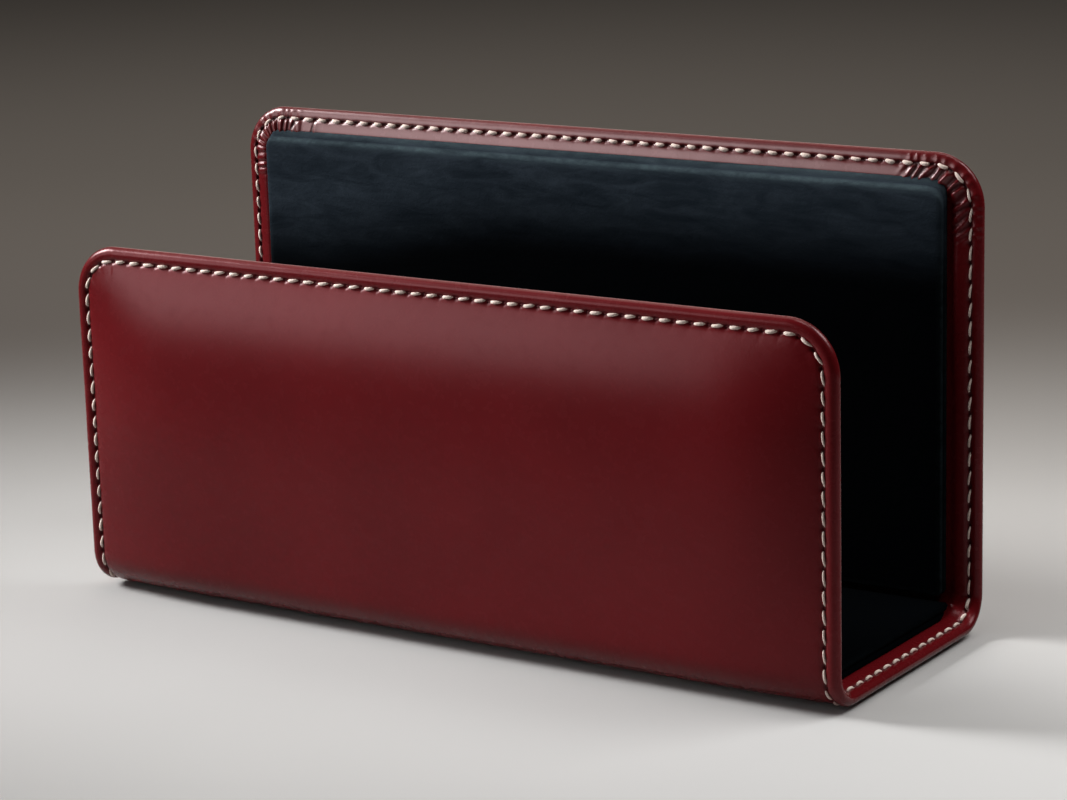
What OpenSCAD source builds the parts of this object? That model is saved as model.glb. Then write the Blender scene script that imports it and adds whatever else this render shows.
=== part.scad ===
// Letter holder. A stiff sheet is bent into a U: a low front panel, a base and a tall back panel.
// One piece of leather covers it outside, padded on the front and the back, turned in over every
// edge and stitched all round. Three cloth-covered boards line the inside, and felt covers the
// underside. The cover, the padding and the stitches are laid out on the flat sheet, by width (x),
// length from the front's top edge (s) and level above the sheet's middle (n), and then folded.

/* [Overall size] */
// Width across the open ends
width = 240; // [180:1:320]
// Depth over the front and back edges
depth = 83; // [64:1:130]
// Height of the front panel over the underside of the leather
front_height = 99; // [80:1:150]
// Height of the back panel over the underside of the leather
back_height = 127.5; // [100:0.5:200]
// Radius of the top corners, over the leather
corner_r = 14; // [13.5:0.5:22]
// Radius of the two folds beside the base, over the leather
fold_r = 10; // [8:0.5:16]

/* [Core] */
// Thickness of the bent core sheet
core_t = 1.4; // [1:0.1:2.4]
// Film of glue between one layer and the next
glue_gap = 0.1; // [0.08:0.01:0.2]

/* [Leather cover] */
// Thickness of the leather
leather_t = 0.9; // [0.6:0.1:1.3]
// Room between the core's edge and the leather turned over it
edge_room = 0.4; // [0.2:0.1:0.6]
// Distance of the seam from the edge
seam_inset = 3.9; // [3.2:0.1:5]
// Half the width of the channel that the seam is drawn into
seam_half_w = 0.8; // [0.6:0.1:1.1]
// Depth of that channel
seam_depth = 0.4; // [0.2:0.1:0.6]
// Width of turned-in leather left showing round the lining
border = 9.5; // [7.5:0.1:10]
// Width of turned-in leather under the lining
hem_lap = 3.5; // [2:0.5:3.5]
// Gathers in the hem at each top corner
gather_count = 7; // [3:1:10]
// Height of a gather
gather_height = 0.6; // [0:0.1:1]

/* [Padding] */
// Height that the padding lifts the leather in the middle of a panel
crown = 4; // [2:0.5:7]
// Distance over which the padding rises from the seam
crown_run = 34; // [20:1:40]
// Distance of the foam's edge from the seam channel
foam_inset = 4; // [3.5:0.5:6]
// Radius of the foam's top corners
foam_corner_r = 20; // [16:1:30]
// Room between the foam and the leather over it
foam_room = 0.4; // [0.35:0.05:0.45]

/* [Stitches] */
// Length of one stitch and the space after it
stitch_pitch = 5; // [4:0.5:8]
// Length of the thread that shows in one stitch
stitch_length = 3.5; // [2.5:0.1:3.6]
// Diameter of the thread
thread_d = 0.9; // [0.6:0.1:1.1]
// Room between the thread and the channel
thread_room = 0.12; // [0.1:0.01:0.2]

/* [Lining] */
// Thickness of a lining board
lining_board_t = 1.8; // [1.2:0.1:3]
// Thickness of the wadding on a board
wadding_t = 0.9; // [0.5:0.1:1.5]
// Thickness of the lining cloth
cloth_t = 0.5; // [0.3:0.1:0.6]
// Radius of the panels' soft front edges
lining_edge_r = 1.4; // [1.2:0.1:1.8]
// Width of cloth turned over behind a board
cloth_turn = 12; // [6:1:20]
// Room between a board and the cloth round it
cloth_room = 0.05; // [0.02:0.01:0.1]

/* [Felt] */
// Thickness of the felt
felt_t = 1.2; // [0.8:0.1:3]
// Distance of the felt from the ends of the base
felt_inset = 9; // [5:1:30]
// Distance of the felt from the start of the folds
felt_margin = 1.5; // [1:0.5:8]
// Radius of the felt's corners
felt_corner_r = 5; // [2:0.5:10]

/* [Hidden] */

// Colours
burgundy = "#64141c";
cream = "#e4cdbd";
dark_cloth = "#1a2429";
grey_board = "#8a8478";
kraft_card = "#b59b78";
foam_white = "#d8d2c4";
wadding_white = "#e6e4de";
felt_black = "#26221f";

// Levels on the sheet, from its middle outwards
skin_n = core_t / 2 + glue_gap;
half_t = skin_n + leather_t;
edge_t = 2 * half_t;

// The folded path of the sheet's middle
fold_mid_r = fold_r - half_t;
fold_y = depth / 2 - fold_r;
fold_z = felt_t + fold_r;
panel_y = depth / 2 - half_t;
arc_len = PI / 2 * fold_mid_r;
s_front = front_height - fold_r;
s_base = s_front + arc_len;
s_base_end = s_base + 2 * fold_y;
s_back = s_base_end + arc_len;
sheet_len = s_back + back_height - fold_r;

// Insets from the sheet's edge
seam_in = seam_inset + seam_half_w;
seam_out = seam_inset - seam_half_w;
edge_in = leather_t + edge_room;
core_inset = edge_in + glue_gap;
hem_w = border + hem_lap;

// The straight stretches of the outline, between its rounded corners
flat_half_w = width / 2 - corner_r;
flat_len = sheet_len - 2 * corner_r;

// How finely the leather is divided
width_steps = 10;
rise_steps = 3;
fold_steps = 6;
bead_step = 45;
corner_steps = 2 * gather_count;
rise_power = 2.4;

function lerp(a, b, t) = a + (b - a) * t;

// A point of the flat sheet, folded into the U
function folded(x, s, n) =
    s < s_front ? [x, -panel_y - n, felt_t + front_height - s] :
    s < s_base ? on_fold(x, -fold_y, 180 + (s - s_front) / arc_len * 90, n) :
    s < s_base_end ? [x, s - s_base - fold_y, felt_t + half_t - n] :
    s < s_back ? on_fold(x, fold_y, 270 + (s - s_base_end) / arc_len * 90, n) :
    [x, panel_y + n, fold_z + s - s_back];

function on_fold(x, y, angle, n) =
    [x, y + (fold_mid_r + n) * cos(angle), fold_z + (fold_mid_r + n) * sin(angle)];

// How far the padding lifts the leather at a point of the sheet
function rise(inset) = 1 - pow(1 - min(max(inset / crown_run, 0), 1), rise_power);
function fade(s) =
    s < s_front || s > s_back ? 1 :
    s < s_base ? (1 + cos((s - s_front) / arc_len * 180)) / 2 :
    s < s_base_end ? 0 :
    (1 - cos((s - s_base_end) / arc_len * 180)) / 2;
function lift(x, s) =
    crown * fade(s) * rise(width / 2 - seam_in - abs(x)) * rise(min(s, sheet_len - s) - seam_in);

// The leather cover: one cross-section, run round the outline, and a grid inside it.

// Cross-section from the padded face round the edge to the hem's end, and back along the inner
// skin. Each row has its inset from the edge, its level, its share of the lift and of the gathers.
ring_shares = [2 / 3, 1 / 3];
ring_insets = [for (share = ring_shares) lerp(seam_in, corner_r, share)];
gather_inset = (seam_in + border) / 2;
section = concat(
    [for (inset = ring_insets) [inset, half_t, 1, 0]],
    [[seam_in, half_t, 0, 0], [seam_inset, half_t - seam_depth, 0, 0], [seam_out, half_t, 0, 0]],
    [for (a = [90:-bead_step:-90]) [half_t * (1 - cos(a)), half_t * sin(a), 0, 0]],
    [[seam_out, -half_t, 0, 0], [seam_inset, seam_depth - half_t, 0, 0], [seam_in, -half_t, 0, 0]],
    [[gather_inset, -half_t, 0, 1], [border, -half_t, 0, 0], [hem_w, -half_t, 0, 0]],
    [[hem_w, -skin_n, 0, 0], [edge_in, -skin_n, 0, 0], [edge_in, skin_n, 0, 0], [seam_in, skin_n, 0, 0]],
    [for (inset = [ring_insets[1], ring_insets[0]]) [inset, skin_n, 1, 0]]);

// Lines of the grid, closer where the padding rises and round the folds
x_lines = [for (i = [0:width_steps]) flat_half_w * sin(180 * i / width_steps - 90)];
rise_lines = [for (i = [0:rise_steps]) lerp(corner_r, seam_in + crown_run, pow(i / rise_steps, 1.5))];
s_lines = concat(
    rise_lines,
    [for (i = [0:fold_steps]) lerp(s_front, s_base, i / fold_steps)],
    [for (i = [0:fold_steps]) lerp(s_base_end, s_back, i / fold_steps)],
    [for (i = [rise_steps:-1:0]) sheet_len - rise_lines[i]]);
last_x = len(x_lines) - 1;
last_s = len(s_lines) - 1;

// Points of the outline: column and row of the grid point inside it, direction outwards, gather
function corner_points(i, j, angle) =
    [for (k = [1:corner_steps - 1]) [i, j, angle + 90 * k / corner_steps, k % 2]];
outline = concat(
    [for (i = [0:last_x]) [i, 0, -90, 0]], corner_points(last_x, 0, -90),
    [for (j = [0:last_s]) [last_x, j, 0, 0]], corner_points(last_x, last_s, 0),
    [for (i = [last_x:-1:0]) [i, last_s, 90, 0]], corner_points(0, last_s, 90),
    [for (j = [last_s:-1:0]) [0, j, 180, 0]], corner_points(0, 0, 180));

function section_point(row, p) =
    let (out = corner_r - row[0],
         x = x_lines[p[0]] + out * cos(p[2]),
         s = s_lines[p[1]] + out * sin(p[2]))
    folded(x, s, row[1] + row[2] * lift(x, s) - row[3] * p[3] * gather_height);

function grid_points(level) =
    [for (x = x_lines, s = s_lines) folded(x, s, level + lift(x, s))];

// Faces: a strip between two loops of points, and a strip from a loop to the grid's own edge
function strip(a, b, count) =
    [for (k = [0:count - 1], t = [0, 1])
        let (next = (k + 1) % count)
        t == 0 ? [a + k, b + next, a + next] : [a + k, b + k, b + next]];

function grid_index(start, p) = start + p[0] * (last_s + 1) + p[1];

function rim(loop, start, turn) =
    let (count = len(outline))
    [for (k = [0:count - 1], t = [0, 1])
        let (next = (k + 1) % count,
             g = grid_index(start, outline[k]),
             h = grid_index(start, outline[next]),
             face = t == 0 ? [g, loop + k, loop + next] : [g, loop + next, h])
        if (t == 0 || g != h) turn ? [face[2], face[1], face[0]] : face];

function grid_faces(start, turn) =
    [for (i = [0:last_x - 1], j = [0:last_s - 1], t = [0, 1])
        let (a = start + i * (last_s + 1) + j,
             c = a + last_s + 2,
             face = t == 0 ? [a, c, a + 1] : [a, c - 1, c])
        turn ? [face[2], face[1], face[0]] : face];

module leather_cover() {
    count = len(outline);
    rows = len(section);
    points = concat(
        [for (row = section, p = outline) section_point(row, p)],
        grid_points(half_t),
        grid_points(skin_n));
    outer = rows * count;
    inner = outer + len(x_lines) * len(s_lines);
    faces = concat(
        [for (r = [0:rows - 2]) each strip(r * count, (r + 1) * count, count)],
        rim(0, outer, false),
        rim((rows - 1) * count, inner, true),
        grid_faces(outer, false),
        grid_faces(inner, true));
    color(burgundy) polyhedron(points, faces, convexity = 8);
}

// The padding: a grid of foam with rounded top corners, thinning out round the fold
foam_n = skin_n;
foam_top = seam_in + foam_inset;
foam_half_w = width / 2 - foam_top;
foam_fold_share = 0.45;
foam_corner_step = 30;
// Distances from a panel's top edge, with the fold starting at fold_at
function foam_rows(fold_at) = concat(
    [for (a = [0:foam_corner_step:90]) foam_top + foam_corner_r * (1 - cos(a))],
    [seam_in + crown_run],
    [for (i = [0:fold_steps]) fold_at + arc_len * foam_fold_share * i / fold_steps]);

function foam_half_width(s) =
    let (short = max(foam_top + foam_corner_r - s, 0))
    foam_half_w - foam_corner_r + sqrt(foam_corner_r * foam_corner_r - short * short);

function foam_points(rows, from_back) =
    [for (top = [true, false], s = rows, i = [0:width_steps])
        let (x = foam_half_width(s) * sin(180 * i / width_steps - 90),
             along = from_back ? sheet_len - s : s,
             n = top ? foam_n + lift(x, along) - foam_room : foam_n)
        folded(x, along, n)];

module foam(panel_h, from_back) {
    lines = foam_rows(panel_h - fold_r);
    columns = width_steps + 1;
    rows = len(lines);
    bottom = rows * columns;
    edge = concat(
        [for (i = [0:columns - 1]) i],
        [for (j = [1:rows - 1]) j * columns + columns - 1],
        [for (i = [columns - 2:-1:0]) (rows - 1) * columns + i],
        [for (j = [rows - 2:-1:1]) j * columns]);
    top_faces = [for (j = [0:rows - 2], i = [0:columns - 2], t = [0, 1])
        let (a = j * columns + i, b = a + columns)
        t == 0 ? [a, b + 1, b] : [a, a + 1, b + 1]];
    bottom_faces = [for (f = top_faces) [f[2] + bottom, f[1] + bottom, f[0] + bottom]];
    side_faces = [for (k = [0:len(edge) - 1], t = [0, 1])
        let (a = edge[k], b = edge[(k + 1) % len(edge)])
        t == 0 ? [a, b + bottom, b] : [a, a + bottom, b + bottom]];
    faces = concat(top_faces, bottom_faces, side_faces);
    turned = from_back ? [for (f = faces) [f[2], f[1], f[0]]] : faces;
    color(foam_white) polyhedron(foam_points(lines, from_back), turned, convexity = 4);
}

module front_padding() { foam(front_height, false); }
module back_padding() { foam(back_height, true); }

// The stitches: one seam round the outline, the same on both faces
seam_r = corner_r - seam_inset;
seam_arc = PI / 2 * seam_r;
seam_quarter = 2 * flat_half_w + flat_len + 2 * seam_arc;
stitch_count = 2 * round(seam_quarter / stitch_pitch);
stitch_step = 2 * seam_quarter / stitch_count;
thread_rise = (thread_d / 2 + thread_room) * norm([seam_half_w, seam_depth]) / seam_half_w;
thread_n = half_t - seam_depth + thread_rise;

// Half of the seam runs over the front's top edge and down the right side, and the other half,
// turned end for end, over the back's top edge and down the left side.
function seam_half(u) =
    u < 2 * flat_half_w ? [u - flat_half_w, seam_inset] :
    u < 2 * flat_half_w + seam_arc ? seam_corner(flat_half_w, corner_r, -90, u - 2 * flat_half_w) :
    u < seam_quarter - seam_arc ?
        [width / 2 - seam_inset, corner_r + u - 2 * flat_half_w - seam_arc] :
    seam_corner(flat_half_w, sheet_len - corner_r, 0, u - seam_quarter + seam_arc);
function seam_corner(x, s, angle, u) =
    [x + seam_r * cos(angle + 90 * u / seam_arc), s + seam_r * sin(angle + 90 * u / seam_arc)];
function seam_at(u) =
    let (v = u < seam_quarter ? seam_half(u) : seam_half(u - seam_quarter))
    u < seam_quarter ? v : [-v[0], sheet_len - v[1]];

module stitch(a, b) {
    v = b - a;
    translate(a)
        rotate([0, acos(v.z / norm(v)), atan2(v.y, v.x)])
            cylinder(h = norm(v), d = thread_d, $fn = 16);
}

function on_seam(u, n) = let (p = seam_at(u)) folded(p[0], p[1], n);

// On the outside a stitch is straight across the fold's outside, so it is moved out to clear it
module seam_stitches(n) {
    reach = stitch_length / 2;
    for (i = [0:stitch_count - 1]) {
        u = (i + 0.5) * stitch_step;
        a = on_seam(u - reach, n);
        b = on_seam(u + reach, n);
        clear = n > 0 ? on_seam(u, n) - (a + b) / 2 : [0, 0, 0];
        stitch(a + clear, b + clear);
    }
}

module outer_stitches() { color(cream) seam_stitches(thread_n); }
module inner_stitches() { color(cream) seam_stitches(-thread_n); }

// The core: three flat stretches and two folds, with rounded top corners
module box(low, high) { translate(low) cube(high - low); }

module along_x(half_w) {
    rotate([90, 0, 90]) translate([0, 0, -half_w]) linear_extrude(2 * half_w) children();
}

module fold_ring(y, side, half_w) {
    along_x(half_w)
        translate([y, fold_z])
            intersection() {
                difference() {
                    circle(fold_mid_r + core_t / 2, $fn = 96);
                    circle(fold_mid_r - core_t / 2, $fn = 96);
                }
                translate([side < 0 ? -fold_r : 0, -fold_r]) square(fold_r);
            }
}

// An upright panel from the fold to its top, with round top corners, centred on y
module upright_panel(half_w, top, t, r, y) {
    difference() {
        box([-half_w, y - t / 2, fold_z], [half_w, y + t / 2, top]);
        for (side = [-1, 1])
            translate([side * (half_w - r), y + t, top - r])
                rotate([90, 0, 0])
                    linear_extrude(2 * t)
                        difference() {
                            translate([side < 0 ? -2 * r : 0, 0]) square(2 * r);
                            circle(r, $fn = 96);
                        }
    }
}

module core_sheet() {
    half_w = width / 2 - core_inset;
    base_z = felt_t + half_t;
    r = corner_r - core_inset;
    color(grey_board) union() {
        upright_panel(half_w, felt_t + front_height - core_inset, core_t, r, -panel_y);
        upright_panel(half_w, felt_t + back_height - core_inset, core_t, r, panel_y);
        box([-half_w, -fold_y, base_z - core_t / 2], [half_w, fold_y, base_z + core_t / 2]);
        fold_ring(-fold_y, -1, half_w);
        fold_ring(fold_y, 1, half_w);
    }
}

// The lining: panels laid on the sheet's inner face, inside the border
lining_t = lining_board_t + wadding_t + 2 * cloth_t + 3 * cloth_room;
lining_half_w = width / 2 - border;
fold_in_r = fold_r - edge_t;
floor_z = felt_t + edge_t + glue_gap;
wall_y = depth / 2 - edge_t - glue_gap;
base_lining_top = floor_z + lining_t;
wall_clear = fold_z - sqrt(2 * fold_in_r * glue_gap - glue_gap * glue_gap);
wall_lining_z = max(base_lining_top + glue_gap, wall_clear);
front_lining_h = felt_t + front_height - border - wall_lining_z;
back_lining_h = felt_t + back_height - border - wall_lining_z;

// Cards that fill the area inside the hem, up to the start of the folds
infill_inset = hem_w + glue_gap;
infill_half_w = width / 2 - infill_inset;
infill_y = panel_y - skin_n - leather_t / 2;

module wall_card(panel_h, y) {
    top = felt_t + panel_h - infill_inset;
    color(kraft_card) upright_panel(infill_half_w, top, leather_t, corner_r - infill_inset, y);
}

module front_infill_card() { wall_card(front_height, -infill_y); }
module back_infill_card() { wall_card(back_height, infill_y); }
module base_infill_card() {
    z = felt_t + half_t + skin_n;
    color(kraft_card) box([-infill_half_w, -fold_y, z], [infill_half_w, fold_y, z + leather_t]);
}

// A slab of w by h, lying on its back, with its front edges rounded
module soft_profile(w, t, r) {
    difference() {
        translate([-w / 2, 0]) square([w, t]);
        for (side = [-1, 1])
            translate([side * (w / 2 - r), t - r])
                difference() {
                    translate([side < 0 ? -2 * r : 0, 0]) square(2 * r);
                    circle(r, $fn = 48);
                }
    }
}

module soft_slab(w, h, t, r) {
    intersection() {
        rotate([90, 0, 0]) translate([0, 0, -h / 2]) linear_extrude(h) soft_profile(w, t, r);
        rotate([90, 0, 90]) translate([0, 0, -w / 2]) linear_extrude(w) soft_profile(h, t, r);
    }
}

wrap = cloth_t + cloth_room;

module wrapped_board(w, h) {
    translate([0, 0, wrap]) box([wrap - w / 2, wrap - h / 2, 0], [w / 2 - wrap, h / 2 - wrap, lining_board_t]);
}

module wrapped_wadding(w, h) {
    translate([0, 0, wrap + lining_board_t + cloth_room])
        soft_slab(w - 2 * wrap, h - 2 * wrap, wadding_t, min(lining_edge_r - cloth_t, wadding_t));
}

module wrapped_cloth(w, h) {
    inside_r = lining_edge_r - cloth_t;
    window = cloth_t + cloth_turn;
    difference() {
        soft_slab(w, h, lining_t, lining_edge_r);
        translate([0, 0, cloth_t])
            soft_slab(w - 2 * cloth_t, h - 2 * cloth_t, lining_t - 2 * cloth_t, inside_r);
        box([window - w / 2, window - h / 2, -cloth_t], [w / 2 - window, h / 2 - window, 2 * cloth_t]);
    }
}

// Stands a panel against the inside of the front or the back
module on_front(h) {
    translate([0, -wall_y, wall_lining_z + h / 2]) rotate([90, 0, 180]) children();
}
module on_back(h) {
    translate([0, wall_y, wall_lining_z + h / 2]) rotate([90, 0, 0]) children();
}

panel_w = 2 * lining_half_w;
module front_lining_board() { color(grey_board) on_front(front_lining_h) wrapped_board(panel_w, front_lining_h); }
module back_lining_board() { color(grey_board) on_back(back_lining_h) wrapped_board(panel_w, back_lining_h); }
module front_lining_wadding() {
    color(wadding_white) on_front(front_lining_h) wrapped_wadding(panel_w, front_lining_h);
}
module back_lining_wadding() {
    color(wadding_white) on_back(back_lining_h) wrapped_wadding(panel_w, back_lining_h);
}
module front_lining_cloth() { color(dark_cloth) on_front(front_lining_h) wrapped_cloth(panel_w, front_lining_h); }
module back_lining_cloth() { color(dark_cloth) on_back(back_lining_h) wrapped_cloth(panel_w, back_lining_h); }

// The base panel's long edges are bevelled to sit down between the folds
base_top_half = fold_y + sqrt(pow(fold_in_r, 2) - pow(max(fold_in_r - lining_t - glue_gap, 0), 2)) - glue_gap;
base_slope = (base_top_half - fold_y) / lining_t;

// Cross-section of the base panel between two heights, drawn in from its outside
module base_profile(low, high, inset) {
    side_in = inset * norm([1, base_slope]);
    low_half = fold_y + base_slope * low - side_in;
    high_half = fold_y + base_slope * high - side_in;
    polygon([[-low_half, low], [low_half, low], [high_half, high], [-high_half, high]]);
}

module base_slab(low, high, inset) {
    translate([0, 0, floor_z]) along_x(lining_half_w - inset) base_profile(low, high, inset);
}

module base_lining_board() { color(grey_board) base_slab(wrap, wrap + lining_board_t, wrap); }
module base_lining_wadding() {
    low = wrap + lining_board_t + cloth_room;
    color(wadding_white) base_slab(low, low + wadding_t, wrap);
}
module base_lining_cloth() {
    window_half_w = lining_half_w - cloth_t - cloth_turn;
    window_half_d = fold_y - cloth_t - cloth_turn;
    color(dark_cloth) difference() {
        base_slab(0, lining_t, 0);
        base_slab(cloth_t, lining_t - cloth_t, cloth_t);
        box([-window_half_w, -window_half_d, floor_z - cloth_t],
            [window_half_w, window_half_d, floor_z + 2 * cloth_t]);
    }
}

// The felt under the base
module base_felt() {
    half_w = width / 2 - felt_inset;
    half_d = fold_y - felt_margin;
    r = felt_corner_r;
    color(felt_black) linear_extrude(felt_t)
        difference() {
            square([2 * half_w, 2 * half_d], center = true);
            for (x = [-1, 1], y = [-1, 1])
                translate([x * (half_w - r), y * (half_d - r)])
                    difference() {
                        translate([x < 0 ? -2 * r : 0, y < 0 ? -2 * r : 0]) square(2 * r);
                        circle(r, $fn = 64);
                    }
        }
}

core_sheet();
leather_cover();
front_padding();
back_padding();
outer_stitches();
inner_stitches();
front_infill_card();
base_infill_card();
back_infill_card();
front_lining_board();
base_lining_board();
back_lining_board();
front_lining_wadding();
base_lining_wadding();
back_lining_wadding();
front_lining_cloth();
base_lining_cloth();
back_lining_cloth();
base_felt();
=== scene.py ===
"""A letter holder in stitched burgundy leather, with a dark suede lining, dressed over its solids."""
import math

import bpy
import numpy as np
from mathutils import Matrix, Vector


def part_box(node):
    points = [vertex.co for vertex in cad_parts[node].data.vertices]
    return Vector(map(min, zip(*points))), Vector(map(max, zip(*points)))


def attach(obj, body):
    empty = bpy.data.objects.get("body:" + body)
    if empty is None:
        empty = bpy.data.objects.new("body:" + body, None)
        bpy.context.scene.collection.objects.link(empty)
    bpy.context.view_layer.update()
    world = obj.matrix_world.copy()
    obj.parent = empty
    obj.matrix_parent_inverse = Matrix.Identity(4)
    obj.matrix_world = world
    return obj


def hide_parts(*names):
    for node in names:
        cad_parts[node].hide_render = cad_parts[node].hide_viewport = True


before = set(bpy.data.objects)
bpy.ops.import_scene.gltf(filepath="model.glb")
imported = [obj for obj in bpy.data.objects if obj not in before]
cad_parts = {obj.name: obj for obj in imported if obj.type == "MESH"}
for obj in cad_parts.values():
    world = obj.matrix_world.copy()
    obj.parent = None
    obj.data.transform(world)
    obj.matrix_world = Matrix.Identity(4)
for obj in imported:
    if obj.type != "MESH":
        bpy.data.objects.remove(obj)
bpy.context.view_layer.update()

BODY = "root"
MM = 0.001


# Sizes in millimetres: the overall ones come from the solids
def node_box(name):
    low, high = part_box(name)
    return np.array(low) / MM, np.array(high) / MM


cover_low, cover_high = node_box("leather_cover")
core_low, core_high = node_box("core_sheet")
felt_low, felt_high = node_box("base_felt")
front_cloth_low, front_cloth_high = node_box("front_lining_cloth")
back_cloth_low, back_cloth_high = node_box("back_lining_cloth")
base_cloth_low, base_cloth_high = node_box("base_lining_cloth")

leather_t = 0.9
glue_gap = 0.1
core_t = 1.4
corner_r = 14.0
fold_r = 10.0
border = 9.5
hem_lap = 3.5
seam_inset = 3.9
seam_half_w = 0.8
edge_room = 0.4
crown = 4.0
crown_run = 34.0
crown_power = 2.4
pad_thinning = 0.5
pad_thinning_run = 46.0
stitch_pitch = 5.0

felt_t = felt_high[2]
width = cover_high[0] - cover_low[0]
depth = 2 * (core_high[1] + glue_gap + leather_t)
back_height = cover_high[2] - felt_t
front_height = front_cloth_high[2] + border - felt_t

skin_n = core_t / 2 + glue_gap
half_t = skin_n + leather_t
fold_mid_r = fold_r - half_t
fold_y = depth / 2 - fold_r
fold_z = felt_t + fold_r
panel_y = depth / 2 - half_t
arc_len = math.pi / 2 * fold_mid_r
s_front = front_height - fold_r
s_base = s_front + arc_len
s_base_end = s_base + 2 * fold_y
s_back = s_base_end + arc_len
sheet_len = s_back + back_height - fold_r
flat_half_w = width / 2 - corner_r
seam_in = seam_inset + seam_half_w
hem_w = border + hem_lap
edge_in = leather_t + edge_room


def bell(distance, reach):
    return np.exp(-(distance / reach) ** 2)


def smooth(low, high, value):
    t = np.clip((value - low) / (high - low), 0, 1)
    return t * t * (3 - 2 * t)


def waver(t, longest, seed):
    """A slow uneven wave of height about 1 along t."""
    draw = np.random.default_rng(seed)
    waves = [(longest / (k + 1) * draw.uniform(0.8, 1.2), draw.uniform(0, 2 * math.pi)) for k in range(4)]
    parts = [np.sin(2 * math.pi * t / length + phase) / (k + 1) for k, (length, phase) in enumerate(waves)]
    return sum(parts) / 1.5


# The flat sheet: width x, length s from the front's top edge and level n over the sheet's middle
def folded(x, s, n):
    """Points of the flat sheet, folded into the holder's U."""
    x, s, n = np.broadcast_arrays(x, s, n)
    front_turn = math.pi * (1 + 0.5 * (s - s_front) / arc_len)
    back_turn = math.pi * (1.5 + 0.5 * (s - s_base_end) / arc_len)
    r = fold_mid_r + n
    zones = [s < s_front, s < s_base, s < s_base_end, s < s_back]
    y = np.select(zones, [-panel_y - n, r * np.cos(front_turn) - fold_y,
                          s - s_base - fold_y, r * np.cos(back_turn) + fold_y], panel_y + n)
    z = np.select(zones, [felt_t + front_height - s, r * np.sin(front_turn) + fold_z,
                          felt_t + half_t - n, r * np.sin(back_turn) + fold_z], fold_z + s - s_back)
    return np.stack([x, y, z], -1)


def panel_share(s):
    """1 on the front and back panels, 0 on the base, and a smooth change round the folds."""
    front = (1 + np.cos(math.pi * np.clip((s - s_front) / arc_len, 0, 1))) / 2
    back = (1 - np.cos(math.pi * np.clip((s - s_base_end) / arc_len, 0, 1))) / 2
    return np.where(s < (s_base + s_base_end) / 2, front, back)


def rise(inset):
    return 1 - (1 - np.clip(inset / crown_run, 0, 1)) ** crown_power


def lift(x, s):
    """How far the padding lifts the leather: it thins toward the folds and the seams."""
    ends = np.minimum(s, sheet_len - s)
    from_fold = np.maximum(s_front - s, s - s_back)
    full = 1 - pad_thinning * (1 - smooth(0, pad_thinning_run, from_fold))
    return crown * full * panel_share(s) * rise(width / 2 - seam_in - np.abs(x)) * rise(ends - seam_in)


# Shells: a grid on each face, joined round the edge by rings of points
class Outline:
    """A rounded rectangle on the flat, and the lines of the grid inside it."""

    def __init__(self, x_lines, s_lines, corner, measured_at=0.0, corner_steps=12):
        self.x_lines, self.s_lines, self.corner = np.asarray(x_lines), np.asarray(s_lines), corner
        left, right, start, end = x_lines[0], x_lines[-1], s_lines[0], s_lines[-1]
        arc = math.pi / 2 * (corner - measured_at)
        across, along = right - left, end - start
        self.arc = arc
        self.keys = np.cumsum([0, across, arc, along, arc, across, arc, along, arc])
        self.key_x = [left, right, right, right, right, left, left, left, left]
        self.key_s = [start, start, start, end, end, end, end, start, start]
        self.key_turn = np.radians([-90, -90, 0, 0, 90, 90, 180, 180, 270])
        self.length = self.keys[-1]
        bend = arc * np.arange(1, corner_steps) / corner_steps
        i_last, j_last = len(x_lines) - 1, len(s_lines) - 1
        sides = [self.x_lines - left, self.s_lines - start,
                 right - self.x_lines[::-1], end - self.s_lines[::-1]]
        cells = [[(i, 0) for i in range(i_last + 1)], [(i_last, j) for j in range(j_last + 1)],
                 [(i, j_last) for i in range(i_last, -1, -1)], [(0, j) for j in range(j_last, -1, -1)]]
        u, self.cells = [], []
        for k in range(4):
            u += [self.keys[2 * k] + sides[k], self.keys[2 * k + 1] + bend]
            self.cells += cells[k] + [cells[k][-1]] * len(bend)
        self.coarse = self.ring(np.concatenate(u))

    def ring(self, u):
        return Ring(self, np.asarray(u, float))

    def corner_middles(self):
        return (self.keys[1::2] + self.keys[2::2]) / 2


class Ring:
    """Places round an outline, each with the point of the flat at any inset from the edge."""

    def __init__(self, outline, u):
        self.u, self.outline = u, outline
        self.x = np.interp(u, outline.keys, outline.key_x)
        self.s = np.interp(u, outline.keys, outline.key_s)
        self.turn = np.interp(u, outline.keys, outline.key_turn)

    def at(self, inset):
        reach = self.outline.corner - inset
        return self.x + reach * np.cos(self.turn), self.s + reach * np.sin(self.turn)


def join_rings(a, ua, b, ub):
    """Faces between two closed rings of points: quads where they match, or else triangles."""
    if len(a) == len(b):
        return list(zip(a, np.roll(a, -1), np.roll(b, -1), b))
    faces, i, j = [], 0, 0
    end_a, end_b = np.append(ua[1:], np.inf), np.append(ub[1:], np.inf)
    for _ in range(len(a) + len(b)):
        a0, b0 = a[i % len(a)], b[j % len(b)]
        if j >= len(b) or (i < len(a) and end_a[i] <= end_b[j]):
            i += 1
            faces.append((a0, a[i % len(a)], b0))
        else:
            j += 1
            faces.append((a0, b[j % len(b)], b0))
    return faces


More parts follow.
